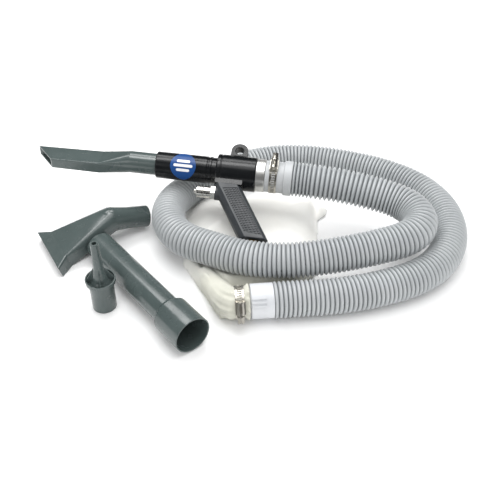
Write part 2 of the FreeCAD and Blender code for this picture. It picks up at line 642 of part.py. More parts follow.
def tip_adaptor():
    """Reducer: a thin round tip on a hollow spigot, standing on the spigot's open end."""
    outside = [(0, 13.6), (0, 15.0), (0.5, SPIGOT_R), (26, SPIGOT_R), (FLANGE_Z - 1, 16.1), (FLANGE_Z, 19.2),
               (FLANGE_Z + 4.4, 19.2), (FLANGE_Z + 4.4, 17.6), (FLANGE_Z + 1.2, 17.0),
               (FLANGE_Z - 0.4, 13.6), (FLANGE_Z + 3.4, 10.5), (FLANGE_Z + 22, 6.6), (ADAPTOR_HIGH - 0.4, 5.1),
               (ADAPTOR_HIGH, 4.7), (ADAPTOR_HIGH, ADAPTOR_BORE_R)]
    inside = [(FLANGE_Z + 22, ADAPTOR_BORE_R), (FLANGE_Z + 2, 7.5), (FLANGE_Z - 5, 13.6)]
    body = lathe(outside + inside, V(0, 0, 1))
    fins = []
    for i in range(4):
        profile = [V(4.5, -0.6, FLANGE_Z - 1), V(14.0, -0.6, FLANGE_Z - 1),
                   V(17.2, -0.6, FLANGE_Z + 1), V(17.2, -0.6, FLANGE_Z + 3.4),
                   V(7.5, -0.6, FLANGE_Z + 21),
                   V(4.5, -0.6, FLANGE_Z + 26)]
        fin = Part.Face(Part.makePolygon(profile + profile[:1])).extrude(V(0, 1.2, 0))
        fin.rotate(V(0, 0, 0), V(0, 0, 1), 90 * i + 10)
        fins.append(fin)
    air = lathe([(-1, 0), (-1, 13.6), (FLANGE_Z - 5, 13.6), (FLANGE_Z + 2, 7.5),
                 (FLANGE_Z + 22, ADAPTOR_BORE_R),
                 (ADAPTOR_HIGH + 1, ADAPTOR_BORE_R), (ADAPTOR_HIGH + 1, 0)], V(0, 0, 1))
    shape = body.fuse(fins).cut(air).removeSplitter()
    shape.translate(ADAPTOR_FOOT)
    return shape


# ---- the whole kit --------------------------------------------------------------------------------
def kit():
    """Every sub-part by name, in the layout's axes."""
    parts = {}
    for make in (gun_housing, suction_tube, jet_ring, gallery_o_rings, outlet_collar, hose_cuff,
                 badge, grip, inlet_bush, air_nipple, valve_nut, valve_body, trigger_button,
                 valve_seal, valve_spring):
        parts[make.__name__] = moved(make(), GUN)
    for name, sizes, where in (("front_clamp", FRONT_CLAMP, FRONT_AT), ("bag_clamp", BAG_CLAMP, BAG_AT)):
        parts[name + "_band"] = moved(clamp_band(*sizes), where)
        parts[name + "_box"] = moved(clamp_box(*sizes), where)
        parts[name + "_screw"] = moved(clamp_screw(*sizes), where)
    parts["crevice_nozzle"] = moved(crevice_nozzle(), CREVICE)
    parts["bag_connector"] = moved(bag_connector(), CONNECTOR)
    parts["dust_bag"] = dust_bag()
    parts["wide_nozzle"] = wide_nozzle()
    parts["extension_tube"] = moved(extension_tube(), TUBE)
    parts["tip_adaptor"] = tip_adaptor()
    parts["hose"] = hose()
    return parts


def main():
    os.makedirs("parts", exist_ok=True)
    box = FreeCAD.BoundBox()
    for name, shape in kit().items():
        if not shape.isValid():
            print("not valid:", name)
        if name != "hose":
            box.add(shape.BoundBox)
        shape.translate(KIT_CENTRE * -1)
        shape.exportStep("parts/%s.step" % name)
        print("%-18s solids %d volume %.0f" % (name, len(shape.Solids), shape.Volume))
    print("middle of the kit without its hose: %.1f, %.1f, lowest %.2f"
          % (box.Center.x, box.Center.y, box.ZMin))


if __name__ == "__main__":
    main()
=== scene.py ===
import json
import math

import bmesh
import bpy
import numpy as np
from mathutils import Matrix, Vector, noise


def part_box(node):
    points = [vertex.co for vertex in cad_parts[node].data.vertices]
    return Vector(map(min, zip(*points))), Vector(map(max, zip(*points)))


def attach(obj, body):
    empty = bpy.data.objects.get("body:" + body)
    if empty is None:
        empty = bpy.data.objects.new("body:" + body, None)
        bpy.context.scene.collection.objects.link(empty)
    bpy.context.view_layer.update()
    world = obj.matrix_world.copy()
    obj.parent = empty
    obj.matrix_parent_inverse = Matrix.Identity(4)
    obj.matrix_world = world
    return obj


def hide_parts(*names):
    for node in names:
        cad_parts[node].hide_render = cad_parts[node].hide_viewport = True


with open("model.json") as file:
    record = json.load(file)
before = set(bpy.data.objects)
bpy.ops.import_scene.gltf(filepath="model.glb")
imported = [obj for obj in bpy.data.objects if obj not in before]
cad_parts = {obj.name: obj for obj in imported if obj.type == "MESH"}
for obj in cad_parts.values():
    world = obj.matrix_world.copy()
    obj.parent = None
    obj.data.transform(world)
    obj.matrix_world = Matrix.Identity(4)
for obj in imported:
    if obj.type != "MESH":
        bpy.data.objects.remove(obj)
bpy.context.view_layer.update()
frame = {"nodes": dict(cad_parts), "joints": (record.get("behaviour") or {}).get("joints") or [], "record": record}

# Compressed-air vacuum gun kit. Metres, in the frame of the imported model.

nodes = frame["nodes"]
record = frame["record"]
mounts = {m["name"]: m for m in record["mounts"]}
joints = {j["name"]: j for j in frame["joints"]}

MM = 0.001
BASE = "gun_and_bag"
KIT_CENTRE = Vector((-0.0947, -0.0895, 0))   # the frame's origin in the layout's own axes

# ---- the gun's own axes, from its joints and mounts ----------------------------------------------
MUZZLE = 86 * MM
gun_x = Vector(joints["trigger_press"]["axis"]).normalized()
gun_y = -Vector(mounts["hanging_eye"]["axis"]).normalized()
gun_z = gun_x.cross(gun_y)
gun_origin = Vector(joints["nozzle_pull"]["pos_m"]) + gun_x * MUZZLE
GUN = Matrix.Translation(gun_origin) @ Matrix((gun_x, gun_y, gun_z)).transposed().to_4x4()

# ---- hose: sizes and route -----------------------------------------------------------------------
HOSE_R = 23.5 * MM
HOSE_VALLEY = 19.3 * MM
RIB_PITCH = 5.7 * MM
RIB_STEPS = 8
HOSE_SIDES = 56
STRETCHED = 0.19                    # the first stretch is pulled out a little, with sharper ribs
STRETCHED_SWELL = 0.7 * MM          # and stands a little prouder
CLOSED_RIBS = 4                     # ribs pushed together behind the cuff
LINE_POINTS_PER_METRE = 900
HOSE_ROUTE = [
    (58.9, 9.48, 76.32), (98.6, 4.15, 74.92), (152, -8, 71), (202, -25, 66), (223.5, -47, 64),
    (228, -74, 62), (209, -98, 59), (154, -113, 54), (100, -123, 49.5), (45, -127, 46),
    (-8, -119, 43), (-52, -96, 40), (-90, -76, 38), (-112, -44, 36), (-116, 2, 34),
    (-95, 42, 31), (-55, 83, 27), (-4, 120, 24), (62, 137, 24), (130, 125, 24),
    (195, 101, 24), (248, 63, 24), (276, 13, 24), (280, -42, 24), (263, -92, 24),
    (227, -131, 24), (170, -155, 24), (114, -168.5, 24), (65, -172.6, 24), (29.2, -175.9, 24),
]


# ---- small helpers -------------------------------------------------------------------------------
def new_object(name, mesh, material, body=BASE, smooth=35):
    """A piece that rides on a body, smooth but for edges sharper than the angle in degrees."""
    piece = bpy.data.objects.new(name, mesh)
    bpy.context.scene.collection.objects.link(piece)
    mesh.materials.append(material)
    mesh.shade_smooth()
    mesh.set_sharp_from_angle(angle=math.radians(smooth))
    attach(piece, body)
    return piece


def mesh_from(name, verts, faces):
    mesh = bpy.data.meshes.new(name)
    mesh.from_pydata([tuple(v) for v in verts], [], faces)
    mesh.validate()
    return mesh


def fill_ends(faces, rings, sides):
    """Flat caps over the first and the last ring."""
    last = (rings - 1) * sides
    faces.append(tuple(reversed(range(sides))))
    faces.append(tuple(range(last, last + sides)))


def ring_faces(rings, sides, first=0):
    """Quads between consecutive closed rings of points."""
    faces = []
    for i in range(rings - 1):
        for j in range(sides):
            a = first + i * sides + j
            b = first + i * sides + (j + 1) % sides
            faces.append((a, b, b + sides, a + sides))
    return faces


def face_outwards(mesh):
    """Turns the faces of a closed mesh so that they all look outwards."""
    work = bmesh.new()
    work.from_mesh(mesh)
    bmesh.ops.recalc_face_normals(work, faces=work.faces)
    work.to_mesh(mesh)
    work.free()


def apply_modifiers(piece):
    graph = bpy.context.evaluated_depsgraph_get()
    mesh = bpy.data.meshes.new_from_object(piece.evaluated_get(graph))
    piece.modifiers.clear()
    piece.data = mesh


# ---- materials -----------------------------------------------------------------------------------
# A Mix node has several sockets of one name, so its colour sockets are taken by number.
MIX_COLOUR_A = 6
MIX_COLOUR_B = 7
MIX_COLOUR_OUT = 2


class Nodes:
    """Short names for building a material's nodes."""

    def __init__(self, name):
        self.material = bpy.data.materials.new(name)
        self.material.use_nodes = True
        self.tree = self.material.node_tree
        self.shader = self.tree.nodes["Principled BSDF"]
        self.place = self.tree.nodes.new("ShaderNodeTexCoord")
        self.normal = None

    def add(self, kind, **inputs):
        node = self.tree.nodes.new("ShaderNode" + kind)
        for key, value in inputs.items():
            node.inputs[key.replace("_", " ")].default_value = value
        return node

    def link(self, source, target):
        self.tree.links.new(source, target)

    def stretched(self, scale):
        mapping = self.add("Mapping", Scale=scale)
        self.link(self.place.outputs["Object"], mapping.inputs["Vector"])
        return mapping.outputs["Vector"]

    def noise(self, scale, detail=3.0, stretch=(1, 1, 1)):
        node = self.add("TexNoise", Scale=scale, Detail=detail)
        self.link(self.stretched(stretch), node.inputs["Vector"])
        return node.outputs["Fac"]

    def ramp(self, value, low, high, a, b):
        """Colours a to b as the value goes from low to high."""
        node = self.add("ValToRGB")
        node.color_ramp.elements[0].position = low
        node.color_ramp.elements[0].color = (*a, 1)
        node.color_ramp.elements[1].position = high
        node.color_ramp.elements[1].color = (*b, 1)
        self.link(value, node.inputs["Fac"])
        return node.outputs["Color"]

    def span(self, value, low, high, start=0.3, end=0.7):
        """A number from low to high as the value goes from start to end."""
        node = self.add("MapRange", From_Min=start, From_Max=end, To_Min=low, To_Max=high)
        self.link(value, node.inputs["Value"])
        return node.outputs["Result"]

    def mixed(self, a, b, amount, blend="MIX"):
        """One colour mixed with another; the amount is a number or an output."""
        node = self.add("Mix")
        node.data_type = "RGBA"
        node.blend_type = blend
        if isinstance(amount, float):
            node.inputs["Factor"].default_value = amount
        else:
            self.link(amount, node.inputs["Factor"])
        self.link(a, node.inputs[MIX_COLOUR_A])
        self.link(b, node.inputs[MIX_COLOUR_B])
        return node.outputs[MIX_COLOUR_OUT]

    def edge(self, radius):
        """Rounds hard edges a little in the shading."""
        node = self.add("Bevel", Radius=radius)
        node.samples = 6
        self.normal = node.outputs["Normal"]
        self.link(self.normal, self.shader.inputs["Normal"])

    def bump(self, height, distance, strength=1.0):
        node = self.add("Bump", Strength=strength, Distance=distance)
        self.link(height, node.inputs["Height"])
        if self.normal:
            self.link(self.normal, node.inputs["Normal"])
        self.normal = node.outputs["Normal"]
        self.link(self.normal, self.shader.inputs["Normal"])

    def set(self, **values):
        for key, value in values.items():
            self.shader.inputs[key.replace("_", " ")].default_value = value


def moulded(name, dark, light, rough, grain=0.02, edge=0.5, coat=0.0, mirror=0.5):
    """Moulded plastic: slight colour drift, uneven gloss, fine grain and softened edges."""
    m = Nodes(name)
    drift = m.noise(26, 4)
    m.link(m.ramp(drift, 0.35, 0.65, dark, light), m.shader.inputs["Base Color"])
    m.link(m.span(m.noise(70, 3), *rough), m.shader.inputs["Roughness"])
    m.set(Coat_Weight=coat, Coat_Roughness=0.12, Specular_IOR_Level=mirror)
    m.edge(edge * MM)
    m.bump(m.noise(900, 2), grain * MM)
    return m.material


def metal(name, dark, light, rough, stretch=(1, 1, 1), brush=0.02, edge=0.3):
    """Metal with fine tool marks along one direction, light stains and softened edges."""
    m = Nodes(name)
    marks = m.noise(260, 4, stretch)
    m.link(m.ramp(m.noise(60, 4), 0.3, 0.7, dark, light), m.shader.inputs["Base Color"])
    m.link(m.span(marks, *rough), m.shader.inputs["Roughness"])
    m.set(Metallic=1.0)
    m.edge(edge * MM)
    m.bump(marks, brush * MM)
    return m.material


WEAVE_SCALE = 260.0
DARKER_FRONT_Y = -50 * MM                # the cloth is darker in front of this line
LIGHTER_BACK_Y = 10 * MM                   # and lighter behind this one


def cloth():
    """Cream cotton twill, darker towards the front: fine weave, soft blotches and a little sheen."""
    m = Nodes("cotton_cloth")
    blotch = m.noise(22, 4)
    # a darker colour towards the front of the bag, a lighter one towards the back
    front_tone = m.ramp(blotch, 0.3, 0.7, (0.54, 0.54, 0.46), (0.64, 0.635, 0.56))
    back_tone = m.ramp(blotch, 0.3, 0.7, (0.92, 0.91, 0.87), (0.95, 0.945, 0.915))
    spot = m.add("SeparateXYZ")
    m.link(m.place.outputs["Object"], spot.inputs["Vector"])
    toward_back = m.span(spot.outputs["Y"], 0.0, 1.0, DARKER_FRONT_Y, LIGHTER_BACK_Y)
    m.link(m.mixed(front_tone, back_tone, toward_back), m.shader.inputs["Base Color"])
    m.set(Roughness=0.92, Sheen_Weight=0.25, Sheen_Roughness=0.5, Specular_IOR_Level=0.2)
    weave = m.add("Math")
    weave.operation = "MAXIMUM"
    for socket, direction in zip(weave.inputs, ("X", "Y")):
        thread = m.add("TexWave", Scale=WEAVE_SCALE, Distortion=1.2, Detail=1.0, Detail_Scale=2.0)
        thread.bands_direction = direction
        m.link(m.stretched((1, 1, 1)), thread.inputs["Vector"])
        m.link(thread.outputs["Fac"], socket)
    m.bump(weave.outputs["Value"], 0.12 * MM, 0.6)
    m.bump(m.noise(60, 3), 0.6 * MM, 0.5)
    return m.material


def hose_plastic():
    """Satin grey hose plastic, with painted shade darkening the grooves between the ribs."""
    m = Nodes("hose_plastic")
    drift = m.ramp(m.noise(18, 3), 0.35, 0.65, (0.41, 0.43, 0.44), (0.47, 0.49, 0.50))
    groove = m.add("Attribute")
    groove.attribute_name = "rib_height"
    # painted shade: the colour darkens where the rib height is low, down in the grooves
    shade = m.ramp(groove.outputs["Fac"], 0.05, 0.65, (0.46, 0.47, 0.48), (1, 1, 1))
    m.link(m.mixed(drift, shade, 1.0, "MULTIPLY"), m.shader.inputs["Base Color"])
    m.link(m.span(m.noise(120, 3), 0.26, 0.36), m.shader.inputs["Roughness"])
    m.bump(m.noise(1200, 2), 0.01 * MM)
    return m.material


def make_materials():
    """One material for each slot of the record, and one for the badge's mark."""
    return {
        "gloss_black": moulded("gloss_black", (0.005, 0.006, 0.007), (0.010, 0.011, 0.012),
                               (0.20, 0.28), 0.006, 0.7, 0.05, 0.26),
        "grip_charcoal": moulded("grip_charcoal", (0.034, 0.039, 0.044), (0.046, 0.052, 0.057),
                                 (0.42, 0.52), 0.05, 0.5),
        "badge_blue": moulded("badge_blue", (0.003, 0.050, 0.20), (0.004, 0.065, 0.26),
                              (0.34, 0.42), 0.004, 0.2, 0.0, 0.3),
        "badge_mark": moulded("badge_mark", (0.78, 0.79, 0.80), (0.84, 0.85, 0.86),
                              (0.25, 0.35), 0.004, 0.2),
        "bright_metal": metal("bright_metal", (0.66, 0.65, 0.63), (0.80, 0.80, 0.78), (0.34, 0.50),
                              (1, 12, 12), 0.02),
        "nickel": metal("nickel", (0.66, 0.65, 0.61), (0.78, 0.77, 0.74), (0.20, 0.32),
                        (1, 6, 6), 0.008),
        # painted shade: the brass is darkened nearly to black so the bush at the grip's foot reads as the shade
        # there
        "brass": metal("brass", (0.055, 0.045, 0.03), (0.085, 0.07, 0.045), (0.36, 0.48)),
        "stainless": metal("stainless", (0.44, 0.42, 0.37), (0.58, 0.56, 0.51), (0.26, 0.40),
                           (8, 8, 1), 0.01),
        "seal_rubber": moulded("seal_rubber", (0.014, 0.014, 0.014), (0.02, 0.02, 0.02),
                               (0.5, 0.6), 0.03),
        "cuff_grey": moulded("cuff_grey", (0.43, 0.445, 0.455), (0.49, 0.505, 0.515),
                             (0.36, 0.46), 0.02, 0.5),
        "hose_grey": hose_plastic(),
        "white_plastic": moulded("white_plastic", (0.60, 0.615, 0.64), (0.66, 0.675, 0.695),
                                 (0.30, 0.40), 0.015, 0.6),
        "cotton_cloth": cloth(),
        "slate_grey": moulded("slate_grey", (0.060, 0.080, 0.078), (0.074, 0.096, 0.094),
                              (0.20, 0.30), 0.01, 0.35, 0.2),
    }


def paint_cad_nodes(materials):
    for sub in record["subparts"]:
        piece = nodes[sub["node"]]
        piece.data.materials.clear()
        piece.data.materials.append(materials[sub["material_slot"]])


# ---- hose ----------------------------------------------------------------------------------------
def route_points(points):
    """Evenly spaced points on the smooth line that the route's points control."""
    curve = bpy.data.curves.new("hose_line", "CURVE")
    curve.dimensions = "3D"
    curve.resolution_u = 24
    spline = curve.splines.new("NURBS")
    spline.points.add(len(points) - 1)
    for target, point in zip(spline.points, points):
        target.co = (*point, 1)
    spline.order_u = 3
    spline.use_endpoint_u = True
    holder = bpy.data.objects.new("hose_line", curve)
    bpy.context.scene.collection.objects.link(holder)
    bpy.context.view_layer.update()
    line = bpy.data.meshes.new_from_object(holder)
    raw = np.array([v.co[:] for v in line.vertices])
    bpy.data.objects.remove(holder)
    bpy.data.meshes.remove(line)
    bpy.data.curves.remove(curve)
    steps = np.linalg.norm(np.diff(raw, axis=0), axis=1)
    along = np.concatenate([[0], np.cumsum(steps)])
    total = along[-1]
    spots = np.linspace(0, total, int(total * LINE_POINTS_PER_METRE) + 1)
    even = np.stack([np.interp(spots, along, raw[:, i]) for i in range(3)], axis=1)
    return even, spots, total


def carried_frames(path):
    """Two directions square to the path at each point, turned as little as possible."""
    tangents = np.gradient(path, axis=0)
    tangents /= np.linalg.norm(tangents, axis=1)[:, None]
    side = np.cross(tangents[0], (0, 0, 1))
    side /= np.linalg.norm(side)
    sides = [side]
    for tangent in tangents[1:]:
        side = side - tangent * np.dot(side, tangent)
        side /= np.linalg.norm(side)
        sides.append(side)
    sides = np.array(sides)
    return sides, np.cross(tangents, sides)


def rib_radius(phase, crest, pulled):
    """Round-topped ribs with narrow valleys between them, more pointed where the hose is pulled out."""
    wave = abs(math.sin(math.pi * phase)) ** (0.7 + 0.4 * pulled)
    return HOSE_VALLEY + (crest - HOSE_VALLEY) * wave


def rib_stations(total):
    """Places of the hose's rings along it: eight to a rib, with wider ribs in the stretched part."""
    place = 0.0
    ends = [0.0]
    while place < total:
        pulled = max(0.0, 1 - place / STRETCHED)
        closed = place < CLOSED_RIBS * RIB_PITCH
        place += RIB_PITCH * (0.9 if closed else 1 + 0.2 * pulled)
        ends.append(place)
    ends = np.array(ends) * (total / ends[-1])
    ribs = len(ends) - 1
    return np.interp(np.arange(ribs * RIB_STEPS + 1) / RIB_STEPS, np.arange(ribs + 1), ends)


def make_hose(material):
    """The ribbed hose, swept along the route; gives back the fine line that it follows."""
    points = [Vector(p) * MM - KIT_CENTRE for p in HOSE_ROUTE]
    fine, along, total = route_points(points)
    spots = rib_stations(total)
    rows = len(spots)
    path = np.stack([np.interp(spots, along, fine[:, i]) for i in range(3)], axis=1)
    sides, ups = carried_frames(path)
    turn = np.linspace(0, 2 * math.pi, HOSE_SIDES, endpoint=False)
    verts = []
    heights = []
    for row in range(rows):
        pulled = min(1.0, max(0.0, 1.4 * (1 - spots[row] / STRETCHED)))
        crest = HOSE_R + STRETCHED_SWELL * pulled
        radius = rib_radius(row / RIB_STEPS, crest, pulled)
        # rib heights, which the hose's material turns into painted shade in the grooves
        heights.extend([(radius - HOSE_VALLEY) / (crest - HOSE_VALLEY)] * HOSE_SIDES)
        circle = np.outer(np.cos(turn), sides[row]) + np.outer(np.sin(turn), ups[row])
        verts.extend(path[row] + circle * radius)
    faces = ring_faces(rows, HOSE_SIDES)
    fill_ends(faces, rows, HOSE_SIDES)
    mesh = mesh_from("ribbed_hose", verts, faces)
    mesh.attributes.new("rib_height", "FLOAT", "POINT").data.foreach_set("value", heights)
    hose = new_object("ribbed_hose", mesh, material, smooth=80)
    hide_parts("hose")
    return fine


# ---- grip ----------------------------------------------------------------------------------------
GRIP_FRONT = -1.3 * MM
GRIP_LONG = 38.3 * MM
GRIP_HALF = 14 * MM
GRIP_TOP = -27.5 * MM
GRIP_DROP = 80 * MM
GRIP_LEAN = math.radians(30.9)
PANEL_DEEP = 0.9 * MM
EDGE_ROUND = 1.1 * MM
LONG_EDGE = 7 * MM
STUD_COLUMNS = 5
STUD_ROWS = 21
STUD_LIFT = 0.95 * MM
STUD_TOP = 0.68                     # the flat top of a stud, as a share of its foot
STUD_SLANT = 0.22
STUDS_FRONT = 7.4 * MM              # from the grip's front edge to the first column's cell
STUDS_BACK = 5 * MM
STUDS_TOP = 8.2 * MM
STUDS_MARGIN = 1.2 * MM             # bare strip at each side of the columns
STUDS_BARE = 11.5 * MM              # length of the grip, above and below, that has no studs


def make_grip(material):
    """The CAD grip with its long edges rounded."""
    mesh = nodes["grip"].data.copy()
    mesh.transform(GUN.inverted())
    work = bmesh.new()
    work.from_mesh(mesh)
    bmesh.ops.remove_doubles(work, verts=work.verts, dist=0.001 * MM)
    bmesh.ops.dissolve_limit(work, angle_limit=math.radians(1), verts=work.verts, edges=work.edges)
    chosen = [e for e in work.edges
              if len(e.link_faces) == 2 and e.calc_length() > LONG_EDGE
              and e.calc_face_angle(0) > math.radians(20) and max(abs(v.co.y) for v in e.verts) > 4 * MM]
    bmesh.ops.bevel(work, geom=chosen, offset=EDGE_ROUND, segments=3, profile=0.5,
                    affect="EDGES", clamp_overlap=True)
    work.to_mesh(mesh)
    work.free()
    mesh.transform(GUN)
    mesh.materials.clear()
    grip = new_object("rounded_grip", mesh, material)
    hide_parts("grip")


def stud(verts, faces, centre, along, across, out):
    """A low rectangular stud with sloping sides."""
    first = len(verts)
    for lift, shrink in ((0.0, 1.0), (STUD_LIFT, STUD_TOP)):
        for a, b in ((-1, -1), (1, -1), (1, 1), (-1, 1)):
            verts.append(centre + along * (a * shrink) + across * (b * shrink) + out * lift)
    faces.append((first + 3, first + 2, first + 1, first))
    faces.append((first + 4, first + 5, first + 6, first + 7))
    for i in range(4):
        j = (i + 1) % 4
        faces.append((first + i, first + j, first + 4 + j, first + 4 + i))


def make_grip_studs(material):
    """Rows of slanted studs in both side panels of the grip."""
    verts = []
    faces = []
    lean = math.tan(GRIP_LEAN)
    x0 = GRIP_FRONT + STUDS_FRONT
    x1 = GRIP_FRONT + GRIP_LONG - STUDS_BACK
    column = (x1 - x0 - 2 * STUDS_MARGIN) / STUD_COLUMNS
    row_pitch = (GRIP_DROP - STUDS_BARE) / STUD_ROWS
    for side in (-1, 1):
        out = Vector((0, side, 0))
        y = side * (GRIP_HALF - PANEL_DEEP - 0.05 * MM)
        for i in range(STUD_ROWS):
            for j in range(STUD_COLUMNS):
                across = (j + 0.5) * column + STUDS_MARGIN
                drop = STUDS_TOP + (i + 0.5) * row_pitch - STUD_SLANT * (across - 8 * MM)
                centre = Vector((x0 + across + drop * lean, y, GRIP_TOP - drop))
                half_across = Vector((1, 0, STUD_SLANT)) * (column * 0.36)
                half_along = Vector((lean, 0, -1)) * (row_pitch * 0.31)
                stud(verts, faces, centre, half_along, half_across, out)
    mesh = mesh_from("grip_studs", [GUN @ v for v in verts], faces)
    face_outwards(mesh)
    studs = new_object("grip_studs", mesh, material, smooth=20)


# ---- badge ---------------------------------------------------------------------------------------
BADGE_X = -46.4 * MM
BADGE_ANGLE = math.radians(63)
TUBE_R = 19 * MM
BAR_HALF_TALL = 1.9 * MM
BARS = [(-6.2 * MM, 7.5 * MM), (0.0, 11.5 * MM), (6.2 * MM, 7.5 * MM)]   # place and half length
BAR_END_STEPS = 10


def on_tube(x, round_tube, radius):
    """A point at a height above the tube; round_tube is measured round it from the badge's middle."""
    angle = BADGE_ANGLE + round_tube / TUBE_R
    return GUN @ Vector((x, -radius * math.sin(angle), -radius * math.cos(angle)))


def make_badge_mark(material):
    """A plain generic mark: three rounded bars of equal height."""
    verts = []
    faces = []
    low = TUBE_R + 0.45 * MM
    high = TUBE_R + 0.62 * MM
    for lane, half_long in BARS:
        outline = []
        for end in (1, -1):
            for k in range(BAR_END_STEPS + 1):
                angle = math.pi * (k / BAR_END_STEPS - 0.5)
                outline.append((end * (half_long + BAR_HALF_TALL * math.cos(angle)),
                                lane + end * BAR_HALF_TALL * math.sin(angle)))
        first = len(verts)
        count = len(outline)
        for radius in (low, high):
            verts.extend(on_tube(BADGE_X + x, y, radius) for x, y in outline)
        faces.append(tuple(range(first + count, first + 2 * count)))
        faces.append(tuple(reversed(range(first, first + count))))
        faces.extend(ring_faces(2, count, first))
    mesh = mesh_from("badge_mark", verts, faces)
    face_outwards(mesh)
    mark = new_object("badge_mark", mesh, material)


# ---- clamps --------------------------------------------------------------------------------------
BAND_THICK = 0.8 * MM
SLOTS = 44
SLOT_STEPS = 4                      # steps round the band to a slot, half of them open
SLOT_SLANT = 0.7 * MM
LANES = 4                           # lines of points across the band


def clamp_axes(screw, band_node):
    """Frame of a clamp: X along the clamped pipe, Z towards the screw."""
    low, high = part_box(band_node)
    centre = (Vector(low) + Vector(high)) / 2
    turn = Vector(joints[screw]["axis"]).normalized()
    to_screw = Vector(joints[screw]["pos_m"]) - centre
    pipe = turn.cross(to_screw).normalized()
    up = pipe.cross(turn).normalized()
    return Matrix.Translation(centre) @ Matrix((pipe, turn, up)).transposed().to_4x4()


def make_band(name, screw, node, inner, wide, material):
    """Steel band with a row of slanted slots that the screw's thread bites into."""
    where = clamp_axes(screw, node)
    lanes = [-wide / 2, -wide * 0.27, wide * 0.27, wide / 2]
    steps = SLOTS * SLOT_STEPS
    outer = inner + BAND_THICK
    verts = []
    for radius in (inner, outer):
        for step in range(steps):
            for k, x in enumerate(lanes):
                shift = SLOT_SLANT * (x / wide) / radius if k in (1, 2) else 0.0
                angle = 2 * math.pi * step / steps + shift
                verts.append(Vector((x, radius * math.sin(angle), radius * math.cos(angle))))
    count = steps * LANES

    def spot(step, lane):
        return (step % steps) * LANES + lane

    faces = []
    for step in range(steps):
        slot = step % SLOT_STEPS < SLOT_STEPS // 2
        for lane in range(LANES - 1):
            if slot and lane == 1:
                continue
            a, b = spot(step, lane), spot(step, lane + 1)
            c, d = spot(step + 1, lane + 1), spot(step + 1, lane)
            faces.append((a, b, c, d))
            faces.append((d + count, c + count, b + count, a + count))
        rims = [0, LANES - 1]       # lanes with a wall from the inner to the outer face
        if slot:
            rims += [1, 2]
        for lane in rims:
            a, b = spot(step, lane), spot(step + 1, lane)
            faces.append((a, b, b + count, a + count))
        if slot:                    # the slot's end walls
            edge = step + step % SLOT_STEPS
            a, b = spot(edge, 1), spot(edge, 2)
            faces.append((a, b, b + count, a + count))
    mesh = mesh_from(name, verts, faces)
    face_outwards(mesh)
    mesh.transform(where)
    band = new_object(name, mesh, material, smooth=30)
    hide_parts(node)


# ---- dust bag ------------------------------------------------------------------------------------
CONNECTOR_YAW = math.radians(5.3)
BAG_OUTLINE = [(-39, -188), (-50, -168), (-92, -88), (-99, -10), (-95, 46), (-66, 60), (92, 60),
               (116, 34), (113, 22), (100, 8), (96, -60), (94, -100), (60, -144), (-8, -150), (-28, -156),
               (-26, -186)]
BAG_GRID = 2.4 * MM
BAG_HIGH = 24 * MM
BAG_BASE = 0.4 * MM                 # the cloth's underside over the floor
BAG_FOLDS = [
    # layout points along the fold, half width, height; a hollow has a negative height
    ([(-84, -84), (-70, -112), (-52, -146), (-42, -166)], 7, 9),
    ([(-62, -96), (-46, -126), (-30, -150)], 7, -12),
    ([(-40, -30), (10, -44), (60, -70)], 12, 4),
    ([(-70, -50), (-30, -10), (-20, 30)], 9, 4),
]
BAG_CORNER = 80 * MM                # the far right corner, beyond this X, lies flatter
BAG_GRID_X = (-0.106, 0.124)        # layout metres that cover the outline
BAG_GRID_Y = (-0.196, 0.070)
PRESS_GAP = 2 * MM                  # between the cloth and the hose lying over it
PRESSED_FLAT = 2.5 * MM             # two layers of cloth with nothing between them
GRIP_Y = -0.07                      # layout Y of the cloth's lowest place under the grip
GRIP_REACH = 0.04
NOWHERE_NEAR = 1e9
SKIN_VOXEL = 1.4 * MM
SKIN_SMOOTHING = 3
WRINKLE_FROM = 1.5 * MM             # no wrinkles below this height


def gap_to_run(xy, start, run):
    """Distance from each point to a straight run from start."""
    along = np.clip(((xy - start) @ run) / (run @ run), 0, 1)
    return np.linalg.norm(xy - start - along[:, None] * run, axis=1)


def outline_distance(xy, outline):
    """Distance from each point to the outline, negative outside it."""
    best = np.full(len(xy), NOWHERE_NEAR)
    inside = np.zeros(len(xy), bool)
    for (ax, ay), (bx, by) in zip(outline, outline[1:] + outline[:1]):
        best = np.minimum(best, gap_to_run(xy, np.array((ax, ay)), np.array((bx - ax, by - ay))))
        crosses = (ay > xy[:, 1]) != (by > xy[:, 1])
        at = ax + (xy[:, 1] - ay) / (by - ay if by != ay else 1e-12) * (bx - ax)
        inside ^= crosses & (xy[:, 0] < at)
    return np.where(inside, best, -best)


def ridge(xy, line, wide, high):
    """A soft fold along a line of points."""
    best = np.full(len(xy), NOWHERE_NEAR)
    for (ax, ay), (bx, by) in zip(line, line[1:]):
        run = np.array((bx - ax, by - ay)) * MM
        best = np.minimum(best, gap_to_run(xy, np.array((ax, ay)) * MM, run))
    return high * MM * np.exp(-(best / (wide * MM)) ** 2)


def soft_noise(xy, size, seed):
    """Smooth bumps of the given size; each seed gives another pattern."""
    return np.array([noise.noise(Vector((x / size, y / size, seed))) for x, y in xy])


def bag_height(xy, hose_line):
    """Height of the cloth over the floor at layout points, and their distance from its edge."""
    distance = outline_distance(xy, [(x * MM, y * MM) for x, y in BAG_OUTLINE])
    pouch = np.clip((-0.100 - xy[:, 1]) / 0.03, 0, 1) * np.clip((-0.015 - xy[:, 0]) / 0.02, 0, 1)
    rise = 1 - np.exp(-np.maximum(distance, 0) / ((17 - 11 * pouch) * MM))
    broad = 3 * MM * soft_noise(xy, 0.07, 3.1)
    small = 1.6 * MM * soft_noise(xy, 0.028, 7.7)
    height = rise * (BAG_HIGH + broad + small)
    for fold, wide, high in BAG_FOLDS:
        height += rise * ridge(xy, fold, wide, high)
    height -= rise * ridge(xy, [(97, 50), (95, -20)], 7, 13) * (xy[:, 0] > BAG_CORNER)
    return tucked_under(height, xy, hose_line), distance


